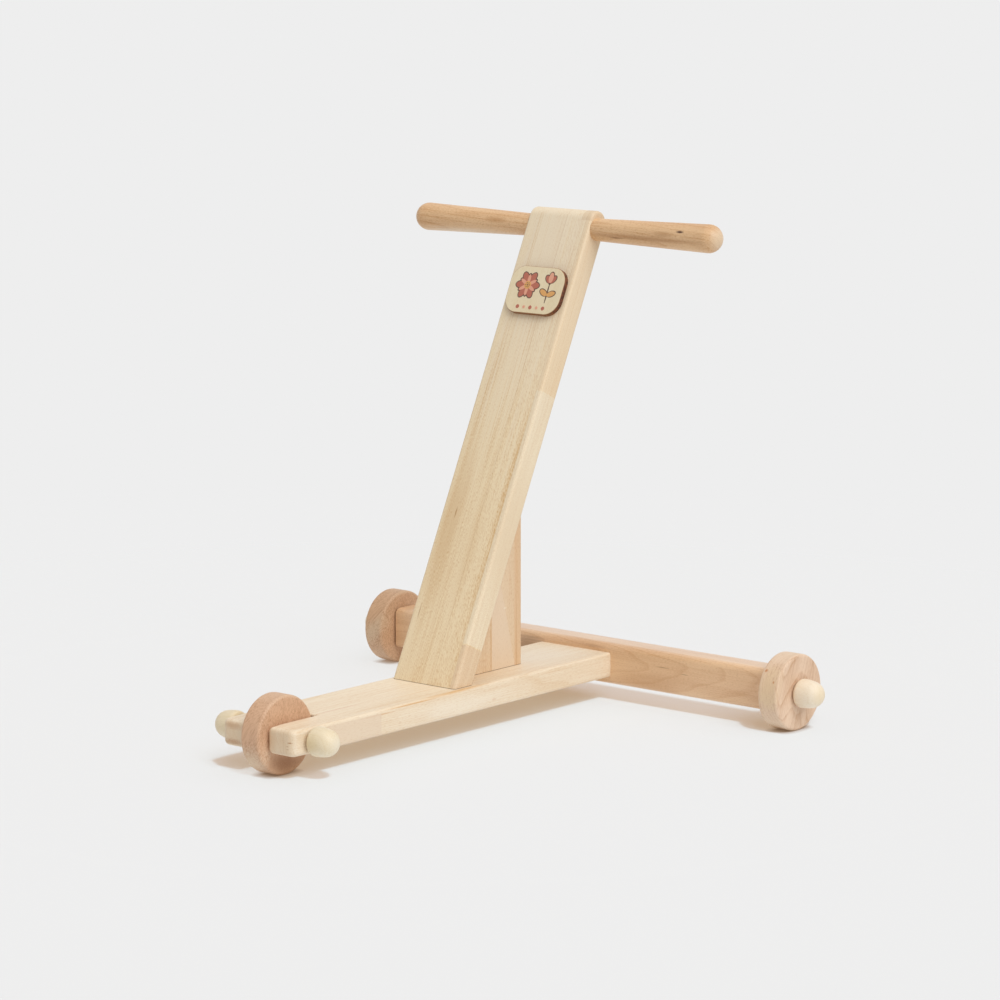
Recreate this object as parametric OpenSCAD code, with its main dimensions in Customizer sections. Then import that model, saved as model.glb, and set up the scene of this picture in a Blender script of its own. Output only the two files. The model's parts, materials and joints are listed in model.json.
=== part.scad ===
// Three-wheeled wooden push walker for a toddler.
// X runs across the walker, Y from its front wheel to its rear wheels, Z up from the floor.
// The origin lies on the floor, half way between the front axle and the rear axles.

/* [Overall] */
// Height of the top of the post above the floor
overall_h = 434; // [390:1:470]
// Distance between the front axle and the rear axles
wheelbase = 400; // [370:1:440]

/* [Wheels] */
// Diameter of each wheel
wheel_d = 66; // [60:1:76]
// Width of each wheel
wheel_w = 20; // [16:1:26]
// Rounding of each wheel's rim
wheel_round = 2.5; // [1:0.5:4]
// Clearance between a wheel's bore and its axle, at the radius
running_clear = 0.1; // [0.05:0.01:0.1]
// Side play between a rear wheel and what lies on each side of it
side_play = 1; // [0.6:0.1:2]

/* [Axles and caps] */
// Diameter of the dowels that the wheels turn on
axle_d = 10; // [8:0.5:12]
// Depth of a rear axle in the end of the cross-beam
axle_hold = 45; // [30:1:60]
// Diameter of each axle cap
cap_d = 25; // [24:0.5:30]
// Length of each axle cap
cap_len = 23.5; // [20:0.5:28]
// Rounding of a cap's edge at its flat end
cap_round = 3.5; // [1:0.5:4]
// Radius of a cap's tip, smaller than the cap's own radius
cap_tip_round = 11.5; // [5:0.5:12]
// Depth of the blind hole in a cap
cap_hold = 15; // [10:1:17]
// Gap between a front cap and the fork's side
front_cap_gap = 2; // [0.4:0.1:2]

/* [Base board] */
// Width of the base board
base_w = 80; // [70:1:96]
// Thickness of the base board
base_t = 22; // [20:1:28]
// Rounding of the long edges of the base board
base_round = 2.5; // [1:0.5:5]
// Distance from the front axle to the tips of the fork
fork_reach = 23.5; // [18:0.5:32]
// Rounding of the fork's outer corners, seen from above
prong_corner = 7; // [3:0.5:10]
// Rounding of the fork's tips, seen from the side
prong_nose = 5; // [2:0.5:8]
// Gap between the front wheel and each prong
fork_play = 1; // [0.6:0.1:3]
// Gap between the front wheel and the end of its slot
slot_gap = 2.5; // [1.5:0.1:5]

/* [Cross-beam] */
// Length of the cross-beam
beam_len = 426; // [380:1:470]
// Depth of the cross-beam, from front to back
beam_d = 28; // [24:1:34]
// Height of the cross-beam's section
beam_h = 36; // [32:1:42]
// Rise of the beam's middle above the rear axles
beam_rise = 1; // [0:0.5:3]
// Rounding of the cross-beam's upper edges
beam_top_round = 6; // [3:0.5:9]
// Rounding of the cross-beam's lower edges
beam_low_round = 3; // [1:0.5:5]

/* [Post] */
// Width of the post
post_w = 70; // [62:1:78]
// Thickness of the post
post_t = 22; // [20:1:28]
// Lean of the post from upright, in degrees
post_lean = 25.4; // [20:0.1:30]
// Distance from the front axle to the front edge of the post's foot
post_setback = 181; // [160:1:200]
// Rounding of the long edges of the post
post_round = 3; // [1:0.5:5]

/* [Gusset] */
// Thickness of the gusset behind the post
gusset_t = 20; // [16:1:26]
// Length of the gusset's foot on the base board
gusset_foot = 95; // [84:1:110]
// Depth of the gusset's blunt tip
gusset_tip = 6; // [4:1:10]
// Rounding of the gusset's back edges
gusset_round = 3; // [1:0.5:5]

/* [Handle] */
// Length of the handle from tip to tip
handle_span = 336; // [300:1:380]
// Diameter of a grip where it meets the post
grip_d_in = 19.5; // [18:0.5:22]
// Diameter of a grip near its round end
grip_d_out = 24.5; // [22:0.5:28]
// Distance along the post from the centre of its round top to the handle
handle_drop = 5.5; // [4:0.5:20]
// Diameter of the dowel that joins the grips
core_d = 12; // [10:0.5:14]
// Depth of that dowel in each grip
core_hold = 30; // [20:1:40]

/* [Plaque] */
// Width of the plaque on the post
plaque_w = 60; // [44:1:62]
// Height of the plaque
plaque_h = 43; // [34:1:60]
// Thickness of the plaque
plaque_t = 4.5; // [2:0.5:6]
// Corner radius of the plaque
plaque_corner = 14; // [6:0.5:17]
// Distance along the post from its handle to the plaque's middle
plaque_drop = 64; // [56:1:120]

/* [Screws and dowels] */
// Diameter of the screws' threads
screw_d = 4.5; // [4:0.1:5]
// Length of each screw
screw_len = 60; // [50:1:62]
// Diameter of a screw's head
screw_head_d = 9; // [8:0.1:10]
// Depth of the hole that sinks a screw's head
screw_sink = 9; // [7:0.5:11]
// Diameter of the jointing dowels
dowel_d = 8; // [6:0.5:8]
// Length of the dowels between base board and cross-beam
beam_dowel_len = 36; // [28:1:44]
// Length of the dowels between gusset and post
gusset_dowel_len = 30; // [24:1:32]

/* [Hidden] */
$fn = 64;

// Gap left for glue round a dowel or plug, at the radius
glue_gap = 0.05;
// How far a cut runs past the face it opens
cut = 1;
// Chamfer on the ends of dowels
dowel_chamfer = 0.8;
// Chamfer at both mouths of a wheel's bore
bore_chamfer = 0.6;
// Free room left past the end of a dowel or screw in its blind hole
end_room = 0.5;
// Clearance round a screw's plain shank, at the radius
shank_clear = 0.15;

// Screw details
screw_head_h = 3;
screw_rim = 0.6;
screw_core_d = 3;
screw_pitch = 2.4;
screw_point = 5;
recess_w = 1.2;
recess_len = 4.6;
recess_depth = 2;
plug_t = 5.5;

// Places given as shares of the piece that carries them
beam_screw_share = 0.2;
beam_dowel_share = 0.36;
beam_dowel_in_beam_share = 0.4;
post_screw_share = 0.27;
gusset_screw_shares = [0.34, 0.78];
gusset_dowel_shares = [0.44, 0.74];
gusset_dowel_in_post_share = 0.46;

// Heights and places that follow from the sizes above
wheel_r = wheel_d / 2;
axle_z = wheel_r;
front_y = -wheelbase / 2;
rear_y = wheelbase / 2;
base_low = axle_z - base_t / 2;
base_top = axle_z + base_t / 2;
base_front_y = front_y - fork_reach;
base_back_y = rear_y - beam_d / 2;
slot_half = wheel_w / 2 + fork_play;
slot_back_y = front_y + wheel_r + slot_gap;
prong_w = base_w / 2 - slot_half;
beam_low = axle_z + beam_rise - beam_h / 2;
beam_back_y = rear_y + beam_d / 2;
wheel_in_x = beam_len / 2 + side_play;
rear_cap_x = wheel_in_x + wheel_w + side_play;
front_cap_x = base_w / 2 + front_cap_gap;
foot_y = front_y + post_setback;
foot_depth = post_t / cos(post_lean);
round_z = (overall_h - post_t / 2 - base_top + post_t / 2 * sin(post_lean)) / cos(post_lean);
handle_z = round_z - handle_drop;
plaque_z = handle_z - plaque_drop;
gusset_front_y = foot_y + foot_depth;
gusset_back_y = gusset_front_y + gusset_foot;
gusset_h = (gusset_foot - gusset_tip) / tan(post_lean);
grip_len = handle_span / 2 - post_w / 2;
plug_hole_d = screw_head_d + 1;
axle_in_cap = cap_hold - end_room;
cap_r = cap_d / 2;
// A cap is widest where the rounding of its flat end stops. From there one arc bends
// towards the tip and meets the tip's own arc without a corner.
cap_tip_z = cap_len - cap_tip_round;
cap_side_round = (pow(cap_tip_z - cap_round, 2) + pow(cap_r, 2) - pow(cap_tip_round, 2))
    / (2 * (cap_r - cap_tip_round));
cap_join_share = cap_side_round / (cap_side_round - cap_tip_round);
cap_join_z = cap_round + cap_join_share * (cap_tip_z - cap_round);

// A rectangle with a corner at the origin. Its radii go round from that corner:
// low left, low right, high right, high left.
module soft_rect(w, h, radii) {
    corners = [[0, 0, 0], [w, 0, 90], [w, h, 180], [0, h, 270]];
    difference() {
        square([w, h]);
        for (i = [0:3])
            translate([corners[i][0], corners[i][1]])
                rotate(corners[i][2])
                    difference() {
                        translate([-cut, -cut]) square(radii[i] + cut);
                        translate([radii[i], radii[i]]) circle(radii[i]);
                    }
    }
}

// Stands a flat outline up and runs it along X: the outline's own x becomes Y, its y becomes Z
module along_x(len) {
    translate([-len / 2, 0, 0]) rotate([90, 0, 90]) linear_extrude(len) children();
}

// Runs a flat outline back along Y from the given place: the outline's own y becomes Z
module along_y(from, len) {
    translate([0, from + len, 0]) rotate([90, 0, 0]) linear_extrude(len) children();
}

// Turns a piece made along Z so that it points along +X
module point_right() {
    rotate([0, 90, 0]) children();
}

// The post's own frame: front face at y = 0, z up along the post from the front edge of its foot
module at_post() {
    translate([0, foot_y, base_top]) rotate([-post_lean, 0, 0]) children();
}

// A dowel along Z from the origin, with chamfered ends
module dowel(d, len) {
    rotate_extrude()
        polygon([[0, 0], [d / 2 - dowel_chamfer, 0], [d / 2, dowel_chamfer],
            [d / 2, len - dowel_chamfer], [d / 2 - dowel_chamfer, len], [0, len]]);
}

// The hole for a glued dowel that lies along Z from the origin, with room past both of its ends
module dowel_bore(d, len) {
    translate([0, 0, -end_room]) cylinder(h = len + 2 * end_room, d = d + 2 * glue_gap);
}

// Profile of a screw: head, plain shank of the given length, thread ridges and point
function screw_profile(plain) =
    let (ridges = floor((screw_len - screw_point - plain) / screw_pitch))
    concat(
        [[0, 0], [screw_head_d / 2, 0], [screw_head_d / 2, screw_rim],
            [screw_core_d / 2, screw_head_h], [screw_core_d / 2, plain]],
        [for (i = [0:ridges - 1], side = [0, 1])
            side == 0
                ? [screw_d / 2, plain + (i + 0.5) * screw_pitch]
                : [screw_core_d / 2, plain + (i + 1) * screw_pitch]],
        [[screw_core_d / 2, screw_len - screw_point], [0, screw_len]]);

// A countersunk wood screw along Z: head's top at the origin, point up
module screw(plain) {
    difference() {
        rotate_extrude() polygon(screw_profile(plain));
        for (turn = [0, 90])
            rotate(turn)
                translate([-recess_len / 2, -recess_w / 2, -cut])
                    cube([recess_len, recess_w, recess_depth + cut]);
    }
}

// The hole for that screw, with the hole that sinks its head below the face that it is driven from
module screw_hole(sink) {
    cylinder(h = screw_len + end_room, d = screw_d + 2 * shank_clear);
    translate([0, 0, screw_rim])
        cylinder(h = screw_head_h - screw_rim,
            d1 = screw_head_d + 2 * shank_clear, d2 = screw_d + 2 * shank_clear);
    translate([0, 0, -sink]) cylinder(h = sink + screw_rim, d = plug_hole_d);
}

// Where each screw lies: its head's top at the origin, and its point along +Z
module at_post_screws() {
    for (side = [-1, 1])
        at_post()
            translate([side * post_screw_share * post_w, post_t / 2,
                post_t / 2 * tan(post_lean) - base_t / cos(post_lean) + screw_sink])
                children();
}

module at_gusset_screws() {
    for (share = gusset_screw_shares)
        translate([0, gusset_front_y + share * gusset_foot, base_low + screw_sink]) children();
}

module at_beam_screws() {
    for (side = [-1, 1])
        translate([side * beam_screw_share * base_w, beam_back_y - screw_sink, axle_z])
            rotate([90, 0, 0]) children();
}

module at_beam_dowels() {
    for (side = [-1, 1])
        translate([side * beam_dowel_share * base_w,
            base_back_y + beam_dowel_in_beam_share * beam_dowel_len, axle_z])
            rotate([90, 0, 0]) children();
}

module at_gusset_dowels() {
    for (share = gusset_dowel_shares)
        at_post()
            translate([0, post_t - gusset_dowel_in_post_share * gusset_dowel_len,
                share * gusset_h / cos(post_lean)])
                rotate([-90, 0, 0]) children();
}

// One prong of the fork, on the +X side
module prong() {
    prong_len = slot_back_y - base_front_y + base_t;
    intersection() {
        along_y(base_front_y, prong_len)
            translate([slot_half, base_low])
                soft_rect(prong_w, base_t, [base_round, base_round, base_round, base_round]);
        translate([slot_half, base_front_y, base_low - cut])
            linear_extrude(base_t + 2 * cut)
                soft_rect(prong_w, prong_len, [base_round, prong_corner, 0, 0]);
        along_x(base_w + 2 * cut)
            translate([base_front_y, base_low])
                soft_rect(prong_len, base_t, [prong_nose, 0, 0, prong_nose]);
    }
}

module base_board() {
    color("wheat") difference() {
        union() {
            along_y(slot_back_y, base_back_y - slot_back_y)
                translate([-base_w / 2, base_low])
                    soft_rect(base_w, base_t, [base_round, base_round, base_round, base_round]);
            prong();
            mirror([1, 0, 0]) prong();
        }
        translate([-base_w / 2 - cut, front_y, axle_z])
            point_right() cylinder(h = base_w + 2 * cut, d = axle_d + 2 * glue_gap);
        at_post_screws() screw_hole(screw_sink + base_t * tan(post_lean));
        at_gusset_screws() screw_hole(screw_sink + cut);
        at_beam_screws() screw_hole(screw_sink + cut);
        at_beam_dowels() dowel_bore(dowel_d, beam_dowel_len);
    }
}

module cross_beam() {
    color("tan") difference() {
        along_x(beam_len)
            translate([base_back_y, beam_low])
                soft_rect(beam_d, beam_h,
                    [beam_low_round, beam_low_round, beam_top_round, beam_top_round]);
        for (side = [-1, 1])
            translate([side * beam_len / 2, rear_y, axle_z])
                rotate([0, -90 * side, 0]) dowel_bore(axle_d, axle_hold);
        at_beam_screws() screw_hole(screw_sink + cut);
        at_beam_dowels() dowel_bore(dowel_d, beam_dowel_len);
    }
}

module main_post() {
    color("burlywood") difference() {
        at_post() intersection() {
            translate([-post_w / 2, 0, -post_t])
                linear_extrude(round_z + 2 * post_t)
                    soft_rect(post_w, post_t, [post_round, post_round, post_round, post_round]);
            along_x(post_w + 2 * cut) {
                translate([0, -post_t]) square([post_t, round_z + post_t]);
                translate([post_t / 2, round_z]) circle(d = post_t);
            }
        }
        translate([-post_w, foot_y - post_w, base_top - 2 * post_t])
            cube([2 * post_w, 2 * post_w, 2 * post_t]);
        at_post()
            translate([-post_w / 2 - cut, post_t / 2, handle_z])
                point_right() cylinder(h = post_w + 2 * cut, d = core_d + 2 * glue_gap);
        at_post_screws() screw_hole(screw_sink);
        at_gusset_dowels() dowel_bore(dowel_d, gusset_dowel_len);
    }
}

module rear_gusset() {
    color("navajowhite") difference() {
        intersection() {
            along_x(gusset_t)
                polygon([[gusset_front_y, base_top], [gusset_back_y, base_top],
                    [gusset_back_y, base_top + gusset_h],
                    [gusset_back_y - gusset_tip, base_top + gusset_h]]);
            translate([-gusset_t / 2, gusset_front_y, base_top])
                linear_extrude(gusset_h)
                    soft_rect(gusset_t, gusset_foot, [0, 0, gusset_round, gusset_round]);
        }
        at_gusset_screws() screw_hole(screw_sink);
        at_gusset_dowels() dowel_bore(dowel_d, gusset_dowel_len);
    }
}

// One grip along Z from the post's side: a straight taper that ends in a dome
module grip() {
    straight = grip_len - grip_d_out / 2;
    difference() {
        rotate_extrude() {
            polygon([[0, 0], [grip_d_in / 2, 0], [grip_d_out / 2, straight], [0, straight]]);
            intersection() {
                translate([0, straight]) circle(d = grip_d_out);
                translate([0, straight]) square(grip_d_out);
            }
        }
        dowel_bore(core_d, core_hold);
    }
}

module at_handle() {
    at_post() translate([0, post_t / 2, handle_z]) children();
}

module handle_grip_right() {
    color("peru") at_handle() translate([post_w / 2, 0, 0]) point_right() grip();
}

module handle_grip_left() {
    color("peru") at_handle() mirror([1, 0, 0]) translate([post_w / 2, 0, 0]) point_right() grip();
}

module handle_core_dowel() {
    color("burlywood") at_handle()
        translate([-post_w / 2 - core_hold, 0, 0])
            point_right() dowel(core_d, post_w + 2 * core_hold);
}

module post_plaque() {
    color("bisque") at_post()
        translate([-plaque_w / 2, 0, plaque_z - plaque_h / 2])
            rotate([90, 0, 0])
                linear_extrude(plaque_t)
                    soft_rect(plaque_w, plaque_h,
                        [plaque_corner, plaque_corner, plaque_corner, plaque_corner]);
}

// One wheel along Z from its inner face, with a rounded rim and a chamfered bore
module wheel() {
    bore_r = axle_d / 2 + running_clear;
    difference() {
        rotate_extrude()
            translate([bore_r, 0])
                soft_rect(wheel_r - bore_r, wheel_w, [0, wheel_round, wheel_round, 0]);
        for (end = [0, 1])
            translate([0, 0, end * wheel_w])
                mirror([0, 0, end])
                    translate([0, 0, -cut])
                        cylinder(h = bore_chamfer + cut,
                            r1 = bore_r + bore_chamfer + cut, r2 = bore_r);
    }
}

module front_wheel() {
    color("rosybrown") translate([-wheel_w / 2, front_y, axle_z]) point_right() wheel();
}

module rear_wheel_right() {
    color("rosybrown") translate([wheel_in_x, rear_y, axle_z]) point_right() wheel();
}

module rear_wheel_left() {
    color("rosybrown") mirror([1, 0, 0])
        translate([wheel_in_x, rear_y, axle_z]) point_right() wheel();
}

module front_axle() {
    half = front_cap_x + axle_in_cap;
    color("tan") translate([-half, front_y, axle_z]) point_right() dowel(axle_d, 2 * half);
}

module rear_axle_right() {
    color("tan") translate([beam_len / 2 - axle_hold, rear_y, axle_z])
        point_right() dowel(axle_d, axle_hold + rear_cap_x + axle_in_cap - beam_len / 2);
}

module rear_axle_left() {
    color("tan") mirror([1, 0, 0])
        translate([beam_len / 2 - axle_hold, rear_y, axle_z])
            point_right() dowel(axle_d, axle_hold + rear_cap_x + axle_in_cap - beam_len / 2);
}

// One round-ended cap along Z from its flat end
module cap() {
    difference() {
        rotate_extrude() {
            soft_rect(cap_r, cap_round, [0, cap_round, 0, 0]);
            intersection() {
                translate([cap_r - cap_side_round, cap_round]) circle(cap_side_round);
                translate([0, cap_round]) square([cap_r, cap_join_z - cap_round]);
            }
            intersection() {
                translate([0, cap_tip_z]) circle(cap_tip_round);
                translate([0, cap_join_z]) square(cap_tip_round);
            }
        }
        dowel_bore(axle_d, axle_in_cap);
    }
}

module front_cap_right() {
    color("lemonchiffon") translate([front_cap_x, front_y, axle_z]) point_right() cap();
}

module front_cap_left() {
    color("lemonchiffon") mirror([1, 0, 0])
        translate([front_cap_x, front_y, axle_z]) point_right() cap();
}

module rear_cap_right() {
    color("lemonchiffon") translate([rear_cap_x, rear_y, axle_z]) point_right() cap();
}

module rear_cap_left() {
    color("lemonchiffon") mirror([1, 0, 0])
        translate([rear_cap_x, rear_y, axle_z]) point_right() cap();
}

// Each screw's plain shank ends where the second piece begins
module post_screws() {
    color("silver") at_post_screws() screw(base_t / cos(post_lean) - screw_sink);
}

module gusset_screws() {
    color("silver") at_gusset_screws() screw(base_t - screw_sink);
}

module beam_screws() {
    color("silver") at_beam_screws() screw(beam_d - screw_sink);
}

module beam_screw_plugs() {
    color("burlywood") at_beam_screws()
        translate([0, 0, -screw_sink]) cylinder(h = plug_t, d = plug_hole_d - 2 * glue_gap);
}

module beam_dowels() {
    color("burlywood") at_beam_dowels() dowel(dowel_d, beam_dowel_len);
}

module gusset_dowels() {
    color("burlywood") at_gusset_dowels() dowel(dowel_d, gusset_dowel_len);
}

base_board();
cross_beam();
main_post();
rear_gusset();
handle_grip_left();
handle_grip_right();
handle_core_dowel();
post_plaque();
front_wheel();
rear_wheel_left();
rear_wheel_right();
front_axle();
rear_axle_left();
rear_axle_right();
front_cap_left();
front_cap_right();
rear_cap_left();
rear_cap_right();
post_screws();
gusset_screws();
beam_screws();
beam_screw_plugs();
beam_dowels();
gusset_dowels();
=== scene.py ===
"""Looks of a three-wheeled wooden push walker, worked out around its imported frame.

Lengths are in metres unless a name ends in _mm. X runs across the walker, Y from its front
wheel to its rear wheels and Z up. Each wooden piece is a surface computed with numpy.
"""
import json
import math

import bmesh
import bpy
import numpy as np
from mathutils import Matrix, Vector


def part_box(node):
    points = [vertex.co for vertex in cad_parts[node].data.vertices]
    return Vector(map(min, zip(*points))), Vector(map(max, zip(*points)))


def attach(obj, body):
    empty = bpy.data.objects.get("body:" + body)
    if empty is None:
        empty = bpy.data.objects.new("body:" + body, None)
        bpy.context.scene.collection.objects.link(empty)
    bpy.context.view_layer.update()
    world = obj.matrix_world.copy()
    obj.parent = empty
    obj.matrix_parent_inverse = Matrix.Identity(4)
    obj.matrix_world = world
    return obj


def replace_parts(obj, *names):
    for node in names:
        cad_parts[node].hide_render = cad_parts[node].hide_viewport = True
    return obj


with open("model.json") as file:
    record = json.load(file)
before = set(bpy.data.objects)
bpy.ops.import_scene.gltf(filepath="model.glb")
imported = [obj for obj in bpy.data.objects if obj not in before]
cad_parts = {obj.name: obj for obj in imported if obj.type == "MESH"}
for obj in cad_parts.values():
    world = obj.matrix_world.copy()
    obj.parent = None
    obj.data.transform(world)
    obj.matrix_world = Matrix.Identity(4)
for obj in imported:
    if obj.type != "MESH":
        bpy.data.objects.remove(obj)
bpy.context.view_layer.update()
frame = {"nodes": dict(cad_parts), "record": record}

MM = 0.001

# Sizes read from the frame
board_low, board_high = (np.array(c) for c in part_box("base_board"))
beam_low, beam_high = (np.array(c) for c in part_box("cross_beam"))
post_low, post_high = (np.array(c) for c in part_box("main_post"))
gusset_low, gusset_high = (np.array(c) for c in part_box("rear_gusset"))
wheel_low, wheel_high = (np.array(c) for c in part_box("front_wheel"))
axle_low, axle_high = (np.array(c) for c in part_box("front_axle"))
core_low, core_high = (np.array(c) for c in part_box("handle_core_dowel"))
grip_low, grip_high = (np.array(c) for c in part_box("handle_grip_right"))
plaque_low, plaque_high = (np.array(c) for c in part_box("post_plaque"))
plaque_mount = next(m for m in frame["record"]["mounts"] if m["name"] == "plaque_face")
plaque_centre = np.array(plaque_mount["pos_m"], float)
plaque_normal = np.array(plaque_mount["axis"], float)
post_lean = math.atan2(plaque_normal[2], -plaque_normal[1])
lean_sin, lean_cos = math.sin(post_lean), math.cos(post_lean)
ALONG_POST = (0, lean_sin, lean_cos)
board_t = board_high[2] - board_low[2]
board_w = board_high[0] - board_low[0]
wheel_r = (wheel_high[2] - wheel_low[2]) / 2
wheel_w = wheel_high[0] - wheel_low[0]
axle_r = (axle_high[2] - axle_low[2]) / 2
axle_z = (wheel_high[2] + wheel_low[2]) / 2
front_y = (wheel_high[1] + wheel_low[1]) / 2
post_t = (gusset_low[1] - post_low[1]) * lean_cos
post_w = post_high[0] - post_low[0]
foot = np.array([0, post_low[1], post_low[2]])
core_r = (core_high[2] - core_low[2]) / 2
handle_centre = (core_low + core_high) / 2

# Sizes of edges and small gaps
GLUE_GAP = 0.05 * MM
RUNNING_CLEAR = 0.1 * MM
END_ROOM = 0.5 * MM
OVERRUN = 1 * MM
# How far inside a flat face's edge its extra ring lies
HOLD = 0.35 * MM
FORK_PLAY = 1 * MM
SLOT_GAP = 2.5 * MM
SLOT_CORNER = 1.2 * MM
BOARD_ROUND = 2.6 * MM
NOSE_ROUND = 4.2 * MM
NOSE_BLEND = 16 * MM
PRONG_INNER_CORNER = 4.6 * MM
PRONG_OUTER_CORNER = 7 * MM
BEAM_TOP_ROUND = 6 * MM
BEAM_LOW_ROUND = 3 * MM
BEAM_END_ROUND = 1.2 * MM
POST_ROUND = 3 * MM
GUSSET_ROUND = 3 * MM
GUSSET_TIP = 6 * MM
# The share of the rounding that the gusset's tip gets
GUSSET_TIP_SHARE = 0.3
WHEEL_ROUND = 2.5 * MM
BORE_CHAMFER = 0.6 * MM
CAP_ROUND = 3.5 * MM
CAP_TIP_ROUND = 11.5 * MM
CAP_BORE = 15 * MM
GRIP_D_IN = 19.5 * MM
GRIP_BORE = 30.5 * MM
SCREW_HEAD_R = 4.5 * MM
SCREW_R = 2.25 * MM
SCREW_CLEAR = 0.15 * MM
SCREW_SINK = 9 * MM
SCREW_HEAD_H = 3 * MM
SCREW_RIM = 0.6 * MM
SCREW_LEN = 60 * MM
PLUG_HOLE_R = 5 * MM
PLAQUE_H = 43 * MM
PLAQUE_T = 4.5 * MM
PLAQUE_CORNER = 14 * MM
PLAQUE_EASE = 0.8 * MM
INK_T = 0.05 * MM
GUSSET_DOWEL_LEN = 30 * MM

# Points along straight edges, steps of arcs, and segments round turned shapes
ROUND_STEPS = 7
BOARD_SIDE_POINTS = 24
BOARD_SLOT_POINTS = 12
PRONG_OUTER_STEPS = 12
PRONG_INNER_STEPS = 10
SLOT_CORNER_STEPS = 6
BEAM_LOW_STEPS = 8
BEAM_TOP_STEPS = 12
POST_POINTS = 30
POST_TOP_STEPS = 28
GRIP_POINTS = 40
GRIP_TIP_STEPS = 20
GRIP_SEGMENTS = 96
WHEEL_RIM_STEPS = 8
WHEEL_SEGMENTS = 160
CAP_RIM_STEPS = 8
CAP_SIDE_STEPS = 14
CAP_TIP_STEPS = 12
CAP_SEGMENTS = 80
PLAQUE_CORNER_STEPS = 14
PETAL_STEP_DEG = 12
DOT_STEP_DEG = 15
DRILL_SEGMENTS = 48

# Edges sharper than this stay sharp, in degrees
SHARP_DEG = 35
# Two edges count as one straight line below this sine, and a radius as none below this length
STRAIGHT_SINE = 1e-6
NO_RADIUS = 1e-9


# Shapes

def arc(centre, radius, start, end, steps):
    """Points centre + radius (cos t, sin t), t from start to end in degrees."""
    t = np.radians(np.linspace(start, end, steps + 1))
    return np.array(centre) + radius * np.stack([np.cos(t), np.sin(t)], 1)


def inset_vectors(outline, weights):
    """How each corner of a closed outline moves when edge i, from point i to point i + 1,
    moves inwards by weights[i]: m solves n_a . m = -w_a and n_b . m = -w_b, where n_a and n_b
    are the outward normals of the two edges at the corner."""
    edge = np.roll(outline, -1, 0) - outline
    normal = np.stack([edge[:, 1], -edge[:, 0]], 1)
    normal /= np.linalg.norm(normal, axis=1, keepdims=True)
    before, weight_before = np.roll(normal, 1, 0), np.roll(weights, 1)
    det = before[:, 0] * normal[:, 1] - before[:, 1] * normal[:, 0]
    straight = np.abs(det) < STRAIGHT_SINE
    det = np.where(straight, 1, det)
    solved = np.stack([weights * before[:, 1] - weight_before * normal[:, 1],
                       weight_before * normal[:, 0] - weights * before[:, 0]], 1) / det[:, None]
    return np.where(straight[:, None], -normal * weights[:, None], solved)


def slab_rings(outline, weights, low, high, round_low, round_high):
    """Rings of a slab whose edges are rounded by quarter circles. A ring lies at height h and
    is the outline moved inwards by d: d = r (1 - sin t) and h = low + r (1 - cos t) with t from
    0 to 90 degrees at the low edge, and the mirror image of that at the high edge. One more
    ring at each end, a little further in, keeps the flat faces flat."""
    move = inset_vectors(outline, weights)
    t = np.radians(np.linspace(0, 90, ROUND_STEPS + 1))
    rings = []
    for radius, side, level in ((round_low, 1, low), (round_high, -1, high)):
        radius = np.broadcast_to(radius, len(outline))
        path = [(radius + HOLD, 0 * radius)]
        path += [(radius * (1 - np.sin(a)), radius * (1 - np.cos(a))) for a in t]
        part = [np.column_stack([outline + move * d[:, None], level + side * h]) for d, h in path]
        rings += part if side > 0 else part[::-1]
    return np.array(rings)


def new_object(name, points, faces):
    """A mesh object in the scene."""
    mesh = bpy.data.meshes.new(name)
    mesh.from_pydata(points, [], faces)
    made = bpy.data.objects.new(name, mesh)
    bpy.context.scene.collection.objects.link(made)
    return made


def new_piece(name, points, faces, place, body, material):
    """One piece with its place in its mesh, riding on its body. place turns an array of the
    shape's own points into points of the frame."""
    piece = new_object(name, place(points), faces)
    tidy_faces(piece.data)
    piece.data.materials.append(material)
    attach(piece, body)
    return piece


def tidy_faces(mesh):
    """Turns all faces outwards and smooths all but the sharp edges."""
    shape = bmesh.new()
    shape.from_mesh(mesh)
    bmesh.ops.recalc_face_normals(shape, faces=shape.faces)
    shape.to_mesh(mesh)
    shape.free()
    mesh.shade_smooth()
    mesh.set_sharp_from_angle(angle=math.radians(SHARP_DEG))
    mesh.update()


def ring_faces(rings, count, first=0):
    """Quads between neighbouring closed rings of count points each."""
    r, c = np.meshgrid(np.arange(rings - 1), np.arange(count), indexing="ij")
    a, b = first + r * count + c, first + r * count + (c + 1) % count
    return np.stack([a, b, b + count, a + count], -1).reshape(-1, 4).tolist()


def slab(rings):
    """Points and faces of stacked rings, closed by one flat face at each end."""
    stack, count = rings.shape[:2]
    faces = ring_faces(stack, count)
    faces += [list(range(count))[::-1], list(range((stack - 1) * count, stack * count))]
    return rings.reshape(-1, 3), faces


def turned(profile, segments):
    """A turned shape: profile rows are (place along the axis z, radius). Row k becomes the
    ring (radius cos a, radius sin a, z), or one point where the radius is 0. A profile with
    no such end is closed on itself, as round a bore."""
    profile = np.array(profile, float)
    poles = profile[[0, -1], 1] < NO_RADIUS
    rings = profile[1:-1] if poles.all() else profile
    a = np.linspace(0, 2 * np.pi, segments, endpoint=False)
    points = np.stack([rings[:, 1, None] * np.cos(a), rings[:, 1, None] * np.sin(a),
                       np.repeat(rings[:, :1], segments, 1)], -1).reshape(-1, 3)
    faces = ring_faces(len(rings), segments)
    last = (len(rings) - 1) * segments
    around = [(k, (k + 1) % segments) for k in range(segments)]
    if poles.all():
        ends = np.array([[0, 0, profile[0, 0]], [0, 0, profile[-1, 0]]])
        points = np.vstack([points, ends])
        faces += [[j, i, len(points) - 2] for i, j in around]
        faces += [[last + i, last + j, len(points) - 1] for i, j in around]
    else:
        faces += [[last + i, last + j, j, i] for i, j in around]
    return points, faces


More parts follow.
